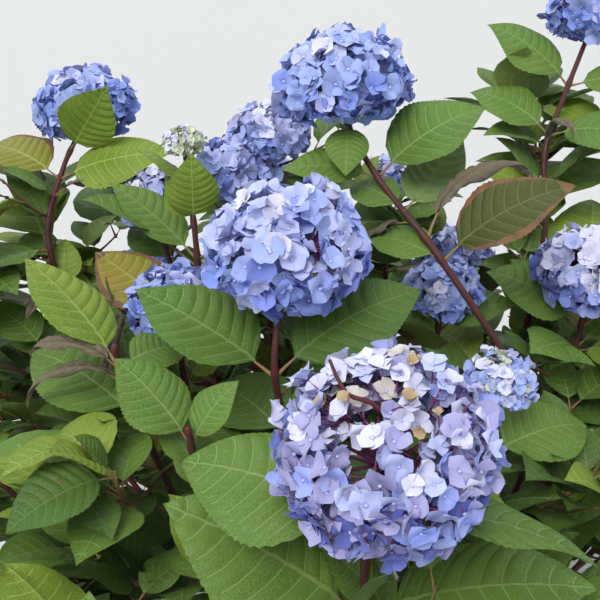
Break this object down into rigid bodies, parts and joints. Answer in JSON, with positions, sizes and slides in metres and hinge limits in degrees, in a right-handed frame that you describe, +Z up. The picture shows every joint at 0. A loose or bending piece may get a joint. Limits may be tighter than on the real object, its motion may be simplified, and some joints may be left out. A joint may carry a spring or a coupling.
{
  "type": "hydrangea shrub",
  "caption": "Leafy garden shrub with a woody stool, a clump of arching canes and round blue flower heads over broad toothed leaves.",
  "frame": {"origin": "on the ground, at the middle of the flat cut under the stool", "axes": "+Z up; -Y towards the side that the picture shows; +X to the right in the picture"},
  "size_m": [1.3284, 1.2435, 1.043],
  "materials": {
    "bark": "matte, grey-brown and lengthwise-cracked bark",
    "foliage": "satin green leaves with soft blue to lilac flower heads"
  },
  "bodies": {
    "root": {"stool": "bark", "cane_front": "bark", "foliage_front": "foliage", "cane_centre": "bark", "foliage_centre": "foliage", "cane_top": "bark", "foliage_top": "foliage", "cane_left": "bark", "foliage_left": "foliage", "cane_right": "bark", "foliage_right": "foliage", "cane_tall": "bark", "foliage_tall": "foliage", "cane_behind": "bark", "foliage_behind": "foliage", "cane_young": "bark", "foliage_young": "foliage", "cane_left_middle": "bark", "foliage_left_middle": "foliage", "cane_pair": "bark", "foliage_pair": "foliage", "cane_pale": "bark", "foliage_pale": "foliage", "cane_left_front": "bark", "foliage_left_front": "foliage", "cane_left_low": "bark", "foliage_left_low": "foliage", "cane_rim_1": "bark", "foliage_rim_1": "foliage", "cane_rim_2": "bark", "foliage_rim_2": "foliage", "cane_rim_3": "bark", "foliage_rim_3": "foliage", "cane_rim_4": "bark", "foliage_rim_4": "foliage", "cane_rim_5": "bark", "foliage_rim_5": "foliage", "cane_rim_6": "bark", "foliage_rim_6": "foliage", "cane_rim_7": "bark", "foliage_rim_7": "foliage", "cane_rim_8": "bark", "foliage_rim_8": "foliage", "cane_rim_9": "bark", "foliage_rim_9": "foliage", "cane_rim_10": "bark", "foliage_rim_10": "foliage", "cane_rim_11": "bark", "foliage_rim_11": "foliage", "cane_back_1": "bark", "foliage_back_1": "foliage", "cane_back_2": "bark", "foliage_back_2": "foliage", "cane_back_3": "bark", "foliage_back_3": "foliage"}
  },
  "joints": []
}
